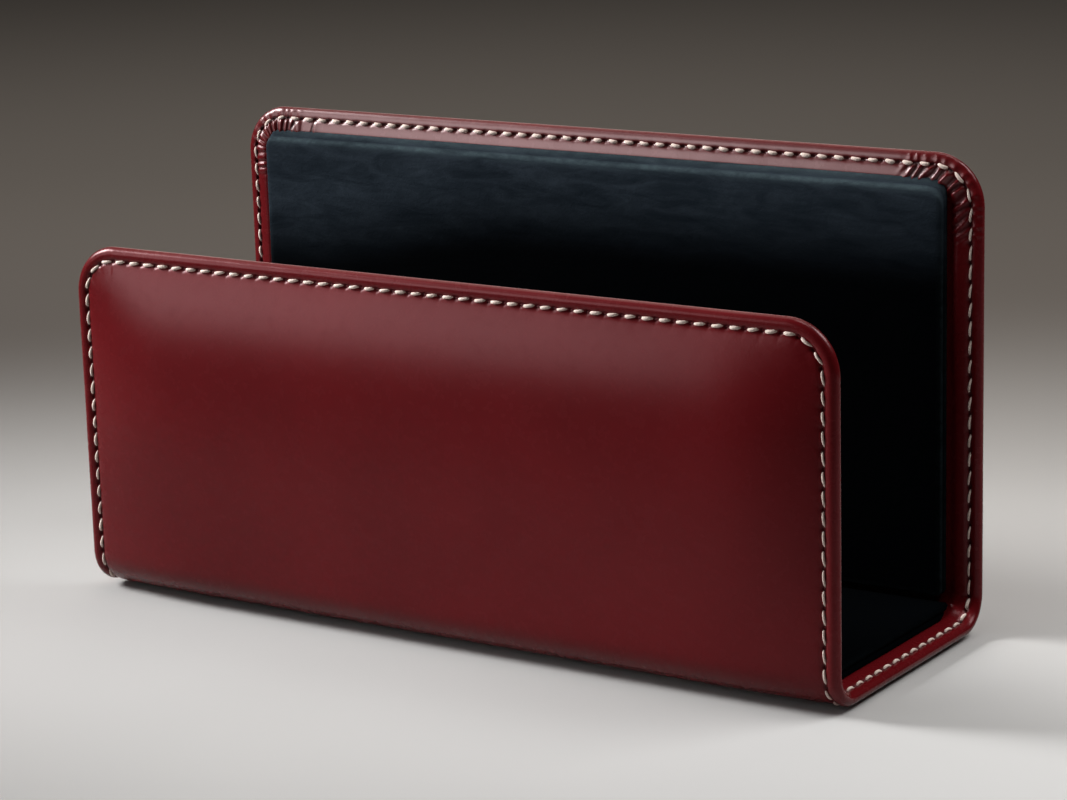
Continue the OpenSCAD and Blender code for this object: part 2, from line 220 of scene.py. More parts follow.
def shell(name, outline, rows, top, bottom, place):
    """A closed mesh. Rows run from the top face round the edge to the bottom face, and each has its
    ring, inset, level and mark, which the finish reads: painted shade in the leather's grooves, needle holes
    and creases, or a painted highlight, partly edge wear, on the suede's edges.
    The top and bottom give the levels of the two grids."""
    points, marks, rings, faces, count = [], [], [], [], 0
    for ring, inset, level, mark in rows:
        x, s = ring.at(inset)
        points.append(place(x, s, np.broadcast_to(level, x.shape)))
        marks.append(np.broadcast_to(mark, x.shape))
        rings.append((np.arange(count, count + len(x)), ring.u))
        count += len(x)
    for (a, ua), (b, ub) in zip(rings, rings[1:]):
        faces += join_rings(a, ua, b, ub)
    nx, ns = len(outline.x_lines), len(outline.s_lines)
    x, s = (g.ravel() for g in np.meshgrid(outline.x_lines, outline.s_lines, indexing="ij"))
    for level, edge, faces_up in ((top, rings[0][0], True), (bottom, rings[-1][0], False)):
        points.append(place(x, s, np.broadcast_to(level(x, s), x.shape)))
        marks.append(np.zeros(len(x)))
        cell = count + np.arange(nx * ns).reshape(nx, ns)
        count += nx * ns
        quads = np.stack([cell[:-1, :-1], cell[1:, :-1], cell[1:, 1:], cell[:-1, 1:]], -1).reshape(-1, 4)
        inner = [cell[c] for c in outline.cells]
        rim = [[g, edge[k], edge[(k + 1) % len(edge)], inner[(k + 1) % len(inner)]]
               for k, g in enumerate(inner)]
        rim = [list(dict.fromkeys(f)) for f in rim]
        grid_faces = quads[:, ::-1].tolist() + [f[::-1] for f in rim]
        faces += grid_faces if faces_up else [f[::-1] for f in grid_faces]
    mesh = bpy.data.meshes.new(name)
    mesh.from_pydata(np.concatenate(points) * MM, [], faces)
    note_points(mesh, "mark", np.concatenate(marks))
    turn_outwards(mesh)
    mesh.shade_smooth()
    piece = bpy.data.objects.new(name, mesh)
    bpy.context.scene.collection.objects.link(piece)
    return piece


def note_points(mesh, name, values):
    """Keeps a number, or a direction, for each point of a mesh under a name."""
    kind, key = ("FLOAT", "value") if values.ndim == 1 else ("FLOAT_VECTOR", "vector")
    mesh.attributes.new(name, kind, "POINT").data.foreach_set(key, values.astype(np.float32).ravel())


def turn_outwards(mesh):
    """Turns a closed mesh's faces round if they point inwards."""
    mesh.calc_loop_triangles()
    corners = np.zeros(len(mesh.loop_triangles) * 3, np.int32)
    mesh.loop_triangles.foreach_get("vertices", corners)
    co = np.zeros(len(mesh.vertices) * 3, np.float32)
    mesh.vertices.foreach_get("co", co)
    a, b, c = co.reshape(-1, 3)[corners.reshape(-1, 3)].astype(float).transpose(1, 0, 2)
    if np.einsum("ij,ij->i", a, np.cross(b, c)).sum() < 0:
        mesh.flip_normals()


def spaced(low, high, step):
    return np.linspace(low, high, max(2, int(round((high - low) / step)) + 1))


def joined(*runs):
    """Runs of lines end to end, without the doubled ends."""
    return np.concatenate([runs[0]] + [run[1:] for run in runs[1:]])


# The leather cover
grid_step = 3.4
fold_step = 1.1
cover_outline = Outline(
    spaced(-flat_half_w, flat_half_w, grid_step),
    joined(spaced(corner_r, s_front, grid_step), spaced(s_front, s_base, fold_step),
           spaced(s_base, s_base_end, grid_step), spaced(s_base_end, s_back, fold_step),
           spaced(s_back, sheet_len - corner_r, grid_step)),
    corner_r, measured_at=seam_inset)
stitch_count = 2 * int(round(cover_outline.length / 2 / stitch_pitch))
stitch_step = cover_outline.length / stitch_count

bead_mid = 1.9
bead_swell = 0.16
groove_depth = 0.5
groove_reach = 0.6
hole_depth = 0.55
hole_reach = 0.42
pucker_depth = 0.09
pucker_reach = 0.62
pucker_length = 1.7
seam_puff = 0.1
puff_run = 1.2

hem_rise = 0.2
hem_seam = 3.1
hem_end = 7.6
hem_bead_mid = 2.3
hem_groove_depth = 0.35
hem_bead_side = 0.55

gather_pitch = (2.9, 2.6, 2.3, 2.9)
gather_reach = (12.0, 11.0, 8.5, 12.0)
gather_height = (0.8, 0.8, 0.55, 0.8)
gather_sharpness = (1.5, 2.2, 0.8, 1.5)
gather_fan = (0.5, 0.8, -0.1, 0.5)
loose_creases = ((-101.5, -0.45, 0.55, 0.9), (-94.5, -0.25, 0.3, 0.7))


def seam_samples():
    """Places along the seam: close at each needle hole, and close all over where the hem is gathered."""
    plain = np.array([0, 0.07, 0.2, 0.5, 0.8, 0.93])
    gathered = np.arange(16) / 16
    middles = cover_outline.corner_middles()
    u = []
    for k in range(stitch_count):
        near = np.abs((k + 0.5) * stitch_step - middles).min() < cover_outline.arc / 2 + max(gather_reach)
        u.append((k + (gathered if near else plain)) * stitch_step)
    return np.concatenate(u)


def hole_distance(u):
    return np.abs((u / stitch_step + 0.5) % 1 - 0.5) * stitch_step


def face_row(ring, inset):
    """The outside of the leather, from the padded face over the seam to the bead."""
    x, s = ring.at(inset)
    hole = hole_distance(ring.u)
    from_seam = inset - seam_inset
    inside = inset > seam_inset
    level = half_t + bead_swell * bell(inset - bead_mid, 0.9) - groove_depth * bell(from_seam, groove_reach)
    level = level - hole_depth * bell(from_seam, hole_reach) * bell(hole, hole_reach)
    slanted = hole_distance(ring.u + 0.3 * from_seam)
    pucker = bell(from_seam, pucker_length if inside else 0.8) * bell(slanted, pucker_reach)
    level = level - (pucker_depth if inside else 0.5 * pucker_depth) * pucker
    if inset > seam_in:
        puff = seam_puff * (0.3 + 0.7 * panel_share(s)) * (1 - math.exp((seam_in - inset) / puff_run))
        round_corner = np.sin(2 * ring.turn) ** 2 * (1 - smooth(seam_in, seam_in + 4, inset))
        level = level + puff + lift(x, s) * (1 - round_corner)
    level = level + 0.05 * waver(ring.u, 60, 3) * (1 - smooth(seam_in, 11, inset))
    # Painted shade: the crease mark darkens the leather in the seam's groove and round the needle holes,
    # which are also really dark.
    crease_shade = 0.3 * bell(from_seam, 0.45) + bell(from_seam, 0.6) * bell(hole, 0.55)
    return ring, inset, level, np.clip(crease_shade, 0, 1)


def face_level(x, s):
    puff = seam_puff * (0.3 + 0.7 * panel_share(s))
    slow = 0.07 * waver(x + 0.3 * s, 110, 11) * waver(s - 0.2 * x, 90, 12)
    edge = np.minimum(width / 2 - np.abs(x), np.minimum(s, sheet_len - s))
    return half_t + puff + lift(x, s) + slow * panel_share(s) * smooth(corner_r, corner_r + 22, edge)


def gathers(u, inset):
    """The radial gathers of the hem at the top corners, and how deep in a fold each place is."""
    height, valley = np.zeros(len(u)), np.zeros(len(u))
    for corner, middle in enumerate(cover_outline.corner_middles()):
        draw = np.random.default_rng(40 + corner)
        t = (u - middle + cover_outline.length / 2) % cover_outline.length - cover_outline.length / 2
        half = cover_outline.arc / 2
        fan = gather_fan[corner] * smooth(0, half + 2, np.abs(t)) * np.sign(t)
        along = t - fan * (inset - hem_seam) + 0.35 * np.sin(0.9 * t + corner)
        sizes = draw.uniform(0.6, 1.15, 64)
        count = along / gather_pitch[corner]
        ridge = (0.5 + 0.5 * np.cos(2 * math.pi * count)) ** gather_sharpness[corner]
        size = sizes[np.clip(np.round(count), -31, 31).astype(int) + 32]
        window = 1 - smooth(half + 0.4 * gather_reach[corner], half + gather_reach[corner], np.abs(t))
        height += window * ridge * size * gather_height[corner]
        valley += window * (1 - ridge) ** 2 * gather_height[corner]
    return height, valley


def hem_row(ring, inset):
    """The turned-in hem, from the bead over the seam to the lining."""
    hole = hole_distance(ring.u)
    from_seam = inset - hem_seam
    wide = 1.0 if from_seam >= 0 else hem_bead_side
    level = half_t - hem_groove_depth * bell(from_seam, wide * groove_reach)
    level = level + hem_rise * (inset - seam_inset) * (1 - smooth(hem_end - 1.0, hem_end + 0.6, inset))
    level = level - hole_depth * bell(from_seam, wide * hole_reach) * bell(hole, hole_reach)
    level = level - 0.6 * pucker_depth * bell(from_seam, wide * 0.9) * bell(hole, pucker_reach)
    height, valley = gathers(ring.u, inset)
    drawn = 1 - 0.55 * bell(from_seam, 0.7)
    bead_fade = smooth(0.8, 2.8, inset) * (0.35 if inset < hem_seam else 1)
    tucked = 1 - smooth(hem_end - 0.6, hem_end + 1.2, inset)
    share = drawn * bead_fade * tucked
    level = level + share * (height - 0.25 * valley)
    # Painted shade: the crease mark darkens the hem in its groove, round the needle holes and in the
    # gathers' valleys.
    crease_shade = 0.2 * bell(from_seam, 0.45) + bell(from_seam, 0.6) * bell(hole, 0.75) + 0.95 * share * valley
    x, s = ring.at(inset)
    for place, slant, sink, reach in loose_creases:
        across = np.where(s > s_back, x - place - slant * (inset - hem_seam), 99)
        fold = smooth(hem_seam + 0.4, hem_seam + 1.8, inset) * tucked
        level = level - fold * sink * (bell(across, 0.5 * reach) - 0.6 * bell(across - 1.1 * reach, reach))
        # Painted shade darkens each loose crease.
        crease_shade = crease_shade + fold * 0.8 * bell(across, 0.45 * reach)
    level = level + 0.05 * waver(ring.u, 45, 5)
    return ring, inset, -level, np.clip(crease_shade, 0, 1)


def bead_rows(ring):
    """The rolled edge, half round from the face to the hem."""
    face, hem = face_row(ring, bead_mid)[2], hem_row(ring, hem_bead_mid)[2]
    rows = []
    for turn in np.radians(np.arange(75, -76, -15)):
        middle, level = (bead_mid, face) if turn > 0 else (hem_bead_mid, -hem)
        rows.append((ring, middle * (1 - math.cos(turn)), math.sin(turn) * level, 0.0))
    return rows


def leather_cover():
    fine, coarse = cover_outline.ring(seam_samples()), cover_outline.coarse
    face_insets = (7.0, 6.2, 5.6, 5.1, 4.75, 4.45, 4.2, 4.05, 3.9, 3.75, 3.55, 3.25, 2.9, 2.5, 2.2, bead_mid)
    hem_insets = (hem_bead_mid, 2.75, 2.95, 3.1, 3.25, 3.45, 3.75, 4.2, 4.8, 5.5, 6.3, 7.1, 7.9,
                  8.7, 9.3, 9.9)
    face = [face_row(coarse, inset) for inset in (11.8, 9.8, 8.2)]
    face += [face_row(fine, inset) for inset in face_insets]
    edge = bead_rows(fine) + [hem_row(fine, inset) for inset in hem_insets]
    inside = [(coarse, inset, -half_t, 0.0) for inset in (11, hem_w)]
    inside += [(coarse, inset, -skin_n, 0.0) for inset in (hem_w, 6, edge_in)]
    inside += [(coarse, edge_in, skin_n, 0.0), (coarse, 3, skin_n, 0.0)]
    for inset in (6, 8.5, 11):
        x, s = coarse.at(inset)
        inside.append((coarse, inset, skin_n + lift(x, s), 0.0))
    piece = shell("leather_cover", cover_outline, face + edge + inside, face_level,
                  lambda x, s: skin_n + lift(x, s), folded)
    before = sum(len(row[0].u) for row in face)
    burnish = []
    for ring, inset, level, _ in edge:
        height, valley = gathers(ring.u, inset)
        gathered = np.clip(height + valley, 0, 1)
        upper = 1 - smooth(0.3, 0.85, level[0] / half_t)
        burnish.append(np.sin(ring.turn) ** 2 * upper * (1 - 0.7 * gathered))
    burnish = np.concatenate(burnish)
    after = len(piece.data.vertices) - before - len(burnish)
    note_points(piece.data, "burnish", np.concatenate([np.zeros(before), burnish, np.zeros(after)]))
    return piece


# The foam under the front and the back
foam_inset = 4.0
foam_room = 0.4
foam_edge_r = 9.0
foam_fold_share = 0.45


def foam_pad(name, start, end):
    half_w = width / 2 - seam_in - foam_inset - foam_edge_r
    outline = Outline(spaced(-half_w, half_w, 6), spaced(start + foam_edge_r, end - foam_edge_r, 4),
                      foam_edge_r, corner_steps=8)

    def top(x, s):
        return skin_n + 0.1 + np.maximum(lift(x, s) - foam_room, 0.1)

    rows = []
    for inset in (6.0, 3.0, 1.2, 0.4, 0.0):
        x, s = outline.coarse.at(inset)
        rows.append((outline.coarse, inset, top(x, s) - 0.1 * (inset == 0), 0.0))
    rows += [(outline.coarse, inset, skin_n + 0.05, 0.0) for inset in (0.0, 3.0)]
    return shell(name, outline, rows, top, lambda x, s: skin_n + 0.05, folded)


# The lining panels: cloth over wadding and board, turned over behind
cloth_t = 0.5
cloth_turn = 12.0
board_t = 1.8
lining_lip_r = 0.9
lining_groove = 0.42
lining_corner_r = 1.8
lining_corner_run = (2.5, 6.0)
lining_puff = 0.3
lining_bevel = 3.2
lining_lap = 1.3
board_room = 0.15
wadding_room = 0.6
base_set_out = 2.0


def graded(low, high, fine, coarse_step):
    """Lines that are close at both ends and wide between."""
    edge = fine * np.cumsum([0, 1, 1.4, 1.9, 2.6, 3.4])
    return joined(low + edge, spaced(low + edge[-1], high - edge[-1], coarse_step), high - edge[::-1])


def cloth_panel(name, half_w, length, thick, place, rub_and_light, seed):
    """One lining panel, lying on its back: x and s on the flat, and the level over its back."""
    r = lining_corner_r
    x_lines, s_lines = graded(r - half_w, half_w - r, 0.7, 3.5), graded(r, length - r, 0.7, 3.5)
    outline = Outline(x_lines, s_lines, r, corner_steps=10)
    ring = outline.coarse

    def puffed(x, s):
        edge = np.minimum(half_w - np.abs(x), np.minimum(s, length - s))
        soft = lining_puff * (1 - np.exp(-edge / 4.0))
        return thick - lining_puff + soft + 0.06 * waver(x, 70, seed) * waver(s, 45, seed + 1)

    tuck = 0.16 * np.sin(2 * (ring.turn + math.pi / 2)) ** 2 * np.cos(10 * ring.turn)
    edge_level = thick - lining_puff
    # Painted highlight, partly edge wear: the panel's edges are lightened, most along the top edge where the
    # light falls, and little on the base panel.
    rubbed_and_lit_edge = rub_and_light * (0.25 + 0.75 * np.clip(-np.sin(ring.turn), 0, 1))
    rows = []
    for turn in np.radians((75, 55, 35, 15, -5, -25, -45)):
        inset = lining_lip_r * (1 - math.cos(turn))
        level = edge_level - lining_lip_r * (1 - math.sin(turn))
        rub_and_highlight = rubbed_and_lit_edge * bell(math.degrees(turn) - 25, 45)
        rows.append((ring, inset - tuck * math.cos(turn) * 0.5, level, rub_and_highlight))
    groove_level = edge_level - 1.8 * lining_lip_r
    below_lip = ((lining_groove, groove_level, 0.0), (0.5 * lining_groove, groove_level - 0.3, 0.3),
                 (0.0, groove_level - 0.6, 0.5), (0.02, 0.4, 0.9), (0.12, 0.12, 0.7))
    for inset, level, rub_and_highlight in below_lip:
        rows.append((ring, inset - 0.5 * tuck * (level > 0.4), level, rub_and_highlight * rubbed_and_lit_edge))
    rows += [(ring, inset, 0.0, 0.0) for inset in (0.4, cloth_t + 1)]
    turned = outline_ring_inside(outline)
    rows += [(turned, cloth_turn, 0.0, 0.0), (turned, cloth_turn, cloth_t, 0.0),
             (ring, cloth_t + 1, cloth_t, 0.0)]
    rows += [(ring, cloth_t + 0.1, cloth_t + 0.1, 0.0), (ring, cloth_t + 0.1, thick - lining_puff - 1, 0.0),
             (ring, cloth_t + 0.8, thick - lining_puff - cloth_t, 0.0)]
    return shell(name, outline, rows, puffed, lambda x, s: puffed(x, s) - cloth_t, place)


class InsideRing(Ring):
    """A ring whose corners stay square when the inset passes the corner's own radius."""

    def at(self, inset):
        reach = min(self.outline.corner - inset, 0)
        x, s = self.x, self.s
        low_x, high_x = self.outline.x_lines[0] - reach, self.outline.x_lines[-1] + reach
        low_s, high_s = self.outline.s_lines[0] - reach, self.outline.s_lines[-1] + reach
        return np.clip(x, low_x, high_x), np.clip(s, low_s, high_s)


def outline_ring_inside(outline):
    return InsideRing(outline, outline.coarse.u)


lining_w = front_cloth_high[0]
wall_y = back_cloth_high[1]
lining_t = back_cloth_high[1] - back_cloth_low[1]
lining_low = front_cloth_low[2]
base_floor = base_cloth_low[2]
base_half = base_cloth_high[1]
base_slope = (base_half - fold_y) / lining_t


def bevel_drop(s, n):
    """The top edge of a wall panel laps over the hem and slopes: lower at its face than behind."""
    return (lining_bevel * (n / lining_t - 0.6) - lining_lap) * (1 - smooth(0, 16, s))


def corner_drop(x, s):
    """The top corners of a wall panel are rounded off, more at the right than at the left."""
    run = np.where(x > 0, lining_corner_run[1], lining_corner_run[0])
    t = np.clip((np.abs(x) - lining_w + run) / run, 0, 1)
    return 0.55 * run * (1 - np.sqrt(1 - t * t)) * (1 - smooth(0, 14, s))


def on_front(x, s, n):
    return np.stack([x, n - wall_y, front_cloth_high[2] - s - bevel_drop(s, n) - corner_drop(x, s)], -1)


def on_back(x, s, n):
    return np.stack([x, wall_y - n, back_cloth_high[2] - s - bevel_drop(s, n) - corner_drop(x, s)], -1)


def on_base(x, s, n):
    narrow = (fold_y + base_slope * n) / base_half
    return np.stack([x, (s - base_half) * narrow, base_floor + n], -1)


def lining_layer(name, half_w, length, place, room, low, high):
    """A board or a wadding inside a lining's cloth: how far it lies inside the edge, and its two levels."""
    r = lining_corner_r - cloth_t
    half_w, length = half_w - room, length - 2 * room
    outline = Outline(spaced(r - half_w, half_w - r, 4), spaced(r, length - r, 4), r, corner_steps=6)
    edge_r = (high - low) / 2
    rows = [(outline.coarse, edge_r * (1 - math.cos(a)), low + edge_r * (1 + math.sin(a)), 0.0)
            for a in np.radians((60, 30, 0, -30, -60))]

    def shifted(x, s, n):
        return place(x, s + room, n)

    return shell(name, outline, rows, lambda x, s: high + 0 * x, lambda x, s: low + 0 * x, shifted)


# The felt under the base
felt_corner_r = 5.0
felt_edge = 0.35


def base_felt():
    half_w, half_d = felt_high[0], felt_high[1]
    outline = Outline(spaced(felt_corner_r - half_w, half_w - felt_corner_r, 4),
                      spaced(felt_corner_r - half_d, half_d - felt_corner_r, 4),
                      felt_corner_r, corner_steps=12)
    ragged = 0.12 * waver(outline.coarse.u, 30, 21)
    rows = [(outline.coarse, 2.0, felt_t, 0.0)]
    rows += [(outline.coarse, felt_edge * (1 - math.cos(a)) + ragged * math.cos(a),
              felt_t / 2 + (felt_t / 2) * math.sin(a), 0.0) for a in np.radians((70, 40, 0, -40, -70))]
    rows += [(outline.coarse, 2.0, 0.0, 0.0)]
    return shell("base_felt_pad", outline, rows, lambda x, s: felt_t + 0 * x, lambda x, s: 0 * x,
                 lambda x, s, n: np.stack([x, s, n], -1))


# Node trees
def add(tree, kind, inputs=None, **settings):
    """A node with its settings, and its inputs linked or set."""
    node = tree.nodes.new(kind)
    for key, value in settings.items():
        setattr(node, key, value)
    for key, value in (inputs or {}).items():
        if isinstance(value, bpy.types.NodeSocket):
            tree.links.new(value, node.inputs[key])
        else:
            node.inputs[key].default_value = value
    return node


def sum_of(tree, a, b, operation="ADD"):
    return add(tree, "ShaderNodeMath", {0: a, 1: b}, operation=operation).outputs[0]


# The stitches: one thread shape, set along the seam at each stitch
thread_d = 0.88
stitch_length = 3.3
stitch_rise = 0.12
stitch_dip = 0.5
stitch_lean = 7.0
stitch_level = half_t - 0.1
top_stitch = {1: (0.95, 1.12, 1.0), -1: (0.88, 1.28, 1.05)}
left_stitch = {1: (1.08, 1.0, 0.9), -1: (1.0, 1.0, 0.85)}
right_stitch = {1: (1.12, 0.84, 0.8), -1: (1.12, 0.74, 0.72)}
base_stitch = (0.92, 1.02, 0.95)


def kept_at_points(tree, name, kind):
    return add(tree, "GeometryNodeInputNamedAttribute", {"Name": name}, data_type=kind).outputs[0]


def stitch_tree():
    """Sets a thread at every point along the seam, fat where it comes up and thin where it goes down."""
    tree = bpy.data.node_groups.new("seam_stitches", "GeometryNodeTree")
    sockets = (("Stitch places", "NodeSocketGeometry"), ("Stitch length", "NodeSocketFloat"),
               ("Thread diameter", "NodeSocketFloat"), ("Rise", "NodeSocketFloat"),
               ("Dip", "NodeSocketFloat"), ("Lean", "NodeSocketFloat"),
               ("Seed", "NodeSocketInt"), ("Thread", "NodeSocketMaterial"))
    for name, kind in sockets:
        tree.interface.new_socket(name, in_out="INPUT", socket_type=kind)
    tree.interface.new_socket("Stitches", in_out="OUTPUT", socket_type="NodeSocketGeometry")
    given = add(tree, "NodeGroupInput").outputs
    half = sum_of(tree, given["Stitch length"], 0.5, "MULTIPLY")
    back_half = sum_of(tree, half, -1.0, "MULTIPLY")
    low = sum_of(tree, given["Dip"], -1.0, "MULTIPLY")
    lower = sum_of(tree, given["Dip"], -1.25, "MULTIPLY")
    top = sum_of(tree, sum_of(tree, given["Rise"], 2.0, "MULTIPLY"), given["Dip"])
    start = add(tree, "ShaderNodeCombineXYZ", {"X": back_half, "Z": low}).outputs[0]
    before_half = sum_of(tree, half, -0.18, "MULTIPLY")
    middle = add(tree, "ShaderNodeCombineXYZ", {"X": before_half, "Z": top}).outputs[0]
    end = add(tree, "ShaderNodeCombineXYZ", {"X": half, "Z": lower}).outputs[0]
    line = add(tree, "GeometryNodeCurveQuadraticBezier",
               {"Resolution": 9, "Start": start, "Middle": middle, "End": end}).outputs[0]
    along = add(tree, "GeometryNodeSplineParameter").outputs["Factor"]
    taper = add(tree, "ShaderNodeFloatCurve", {"Value": along})
    curve = taper.mapping.curves[0]
    curve.points[0].location, curve.points[1].location = (0.0, 0.66), (1.0, 0.5)
    for place, size in ((0.16, 0.96), (0.4, 1.0), (0.75, 0.9)):
        curve.points.new(place, size)
    taper.mapping.update()
    sized = add(tree, "GeometryNodeSetCurveRadius", {"Curve": line, "Radius": taper.outputs[0]}).outputs[0]
    stored = add(tree, "GeometryNodeStoreNamedAttribute",
                 {"Geometry": sized, "Name": "thread_along", "Value": along}, data_type="FLOAT").outputs[0]
    thread_r = sum_of(tree, given["Thread diameter"], 0.5, "MULTIPLY")
    round_ = add(tree, "GeometryNodeCurvePrimitiveCircle", {"Resolution": 7, "Radius": thread_r}).outputs[0]
    about = add(tree, "GeometryNodeSplineParameter").outputs["Factor"]
    round_ = add(tree, "GeometryNodeStoreNamedAttribute",
                 {"Geometry": round_, "Name": "thread_round", "Value": about}, data_type="FLOAT").outputs[0]
    thread = add(tree, "GeometryNodeCurveToMesh",
                 {"Curve": stored, "Profile Curve": round_, "Fill Caps": True})
    if "Scale" in thread.inputs:
        radius = add(tree, "GeometryNodeInputRadius").outputs[0]
        tree.links.new(radius, thread.inputs["Scale"])
    seam = kept_at_points(tree, "along", "FLOAT_VECTOR")
    out = kept_at_points(tree, "out", "FLOAT_VECTOR")
    side = kept_at_points(tree, "lean", "FLOAT")
    turned = add(tree, "FunctionNodeAxesToRotation", {0: out, 1: seam},
                 primary_axis="Z", secondary_axis="X").outputs[0]
    stray = add(tree, "FunctionNodeRandomValue", {2: -0.06, 3: 0.06, "Seed": given["Seed"]},
                data_type="FLOAT").outputs[1]
    lean = sum_of(tree, sum_of(tree, given["Lean"], side, "MULTIPLY"), stray)
    tilt = add(tree, "ShaderNodeCombineXYZ", {"Z": lean}).outputs[0]
    tilt = add(tree, "FunctionNodeEulerToRotation", {0: tilt}).outputs[0]
    turned = add(tree, "FunctionNodeRotateRotation", {0: turned, 1: tilt}, rotation_space="LOCAL").outputs[0]
    size = add(tree, "FunctionNodeRandomValue",
               {0: (0.93, 0.9, 0.92), 1: (1.05, 1.08, 1.08), "Seed": given["Seed"]},
               data_type="FLOAT_VECTOR").outputs[0]
    share = kept_at_points(tree, "share", "FLOAT_VECTOR")
    size = add(tree, "ShaderNodeVectorMath", {0: size, 1: share}, operation="MULTIPLY").outputs[0]
    placed = add(tree, "GeometryNodeInstanceOnPoints",
                 {"Points": given["Stitch places"], "Instance": thread.outputs[0],
                  "Rotation": turned, "Scale": size}).outputs[0]
    real = add(tree, "GeometryNodeRealizeInstances", {"Geometry": placed}).outputs[0]
    soft = add(tree, "GeometryNodeSetShadeSmooth", {"Geometry": real}).outputs[0]
    done = add(tree, "GeometryNodeSetMaterial", {"Geometry": soft, "Material": given["Thread"]}).outputs[0]
    add(tree, "NodeGroupOutput", {"Stitches": done})
    return tree


def seam_point(u, n):
    x, s = cover_outline.ring(u % cover_outline.length).at(seam_inset if n > 0 else hem_seam)
    return folded(x, s, n)


def seam_stitches(name, side, tree, finish, seed):
    """The stitches on one face of the seam: side is 1 outside and -1 on the hem."""
    u = (np.arange(stitch_count) + 0.5) * stitch_step
    n = side * stitch_level
    places = seam_point(u, n)
    chord = (seam_point(u - 1.5, n) + seam_point(u + 1.5, n)) / 2
    along = seam_point(u + 0.5, n) - seam_point(u - 0.5, n)
    out = side * (seam_point(u, n + 0.5) - seam_point(u, n - 0.5))
    lowest = np.minimum(np.einsum("ij,ij->i", chord - places, out), 0)
    places = places + 0.5 * lowest[:, None] * out
    ring = cover_outline.ring(u)
    lean = side * np.where(ring.at(seam_inset)[0] < -flat_half_w, -1.0, 1.0)
    upright = np.cos(ring.turn)[:, None]
    share = np.array(top_stitch[side]) * (1 - upright ** 2)
    share = share + np.where(upright < 0, left_stitch[side], right_stitch[side]) * upright ** 2
    on_base_hem = (side < 0) & (places[:, 2:] < base_floor + lining_t)
    share = np.where(on_base_hem, base_stitch, share)
    mesh = bpy.data.meshes.new(name)
    mesh.from_pydata(places * MM, [], [])
    for key, values in (("along", along), ("out", out), ("share", share), ("lean", lean)):
        note_points(mesh, key, values)
    piece = bpy.data.objects.new(name, mesh)
    bpy.context.scene.collection.objects.link(piece)
    sewing = piece.modifiers.new("stitches", "NODES")
    sewing.node_group = tree
    sizes = {"Stitch length": stitch_length * MM, "Thread diameter": thread_d * MM, "Rise": stitch_rise * MM,
             "Dip": stitch_dip * MM, "Lean": math.radians(stitch_lean), "Seed": seed, "Thread": finish}
    for socket in tree.interface.items_tree:
        if socket.in_out == "INPUT" and socket.name in sizes:
            sewing[socket.identifier] = sizes[socket.name]
    depsgraph = bpy.context.evaluated_depsgraph_get()
    sewn = bpy.data.meshes.new_from_object(piece.evaluated_get(depsgraph), preserve_all_data_layers=True,
                                           depsgraph=depsgraph)
    piece.modifiers.clear()
    piece.data = sewn
    return piece


# Finishes
def new_finish(name):
    finish = bpy.data.materials.new(name)
    finish.use_nodes = True
    tree = finish.node_tree
    shader = next(n for n in tree.nodes if n.type == "BSDF_PRINCIPLED")
    place = add(tree, "ShaderNodeTexCoord").outputs["Object"]
    return finish, tree, shader, place


def noise(tree, place, scale, detail=3.0, roughness=0.55, distortion=0.0):
    return add(tree, "ShaderNodeTexNoise", {"Vector": place, "Scale": scale, "Detail": detail,
                                            "Roughness": roughness, "Distortion": distortion}).outputs["Fac"]


def stretched(tree, place, scale, turn=(0, 0, 0)):
    return add(tree, "ShaderNodeMapping", {"Vector": place, "Rotation": turn, "Scale": scale}).outputs[0]


def ramp(tree, value, stops):
    node = add(tree, "ShaderNodeValToRGB", {"Fac": value})
    elements = node.color_ramp.elements
    while len(elements) < len(stops):
        elements.new(0.5)
    for element, (at, colour) in zip(elements, stops):
        element.position = at
        element.color = (*colour, 1)
    return node.outputs["Color"]


def mix(tree, share, a, b, blend="MIX"):
    node = add(tree, "ShaderNodeMix", {0: share, 6: a, 7: b}, data_type="RGBA", blend_type=blend)
    return node.outputs[2]


def between(tree, value, low, high):
    return add(tree, "ShaderNodeMapRange", {"Value": value, "To Min": low, "To Max": high}).outputs[0]


def eased(tree, value, start, end, low=0.0, high=1.0):
    """A smooth step from low to high as the value goes from start to end."""
    inputs = {"Value": value, "From Min": start, "From Max": end, "To Min": low, "To Max": high}
    return add(tree, "ShaderNodeMapRange", inputs, interpolation_type="SMOOTHSTEP").outputs[0]


def bump(tree, height, distance, strength=1.0, under=None):
    inputs = {"Height": height, "Distance": distance, "Strength": strength}
    if under is not None:
        inputs["Normal"] = under
    return add(tree, "ShaderNodeBump", inputs).outputs[0]


def set_shader(tree, shader, **inputs):
    for key, value in inputs.items():
        socket = shader.inputs[key.replace("_", " ")]
        if isinstance(value, bpy.types.NodeSocket):
            tree.links.new(value, socket)
        else:
            socket.default_value = value


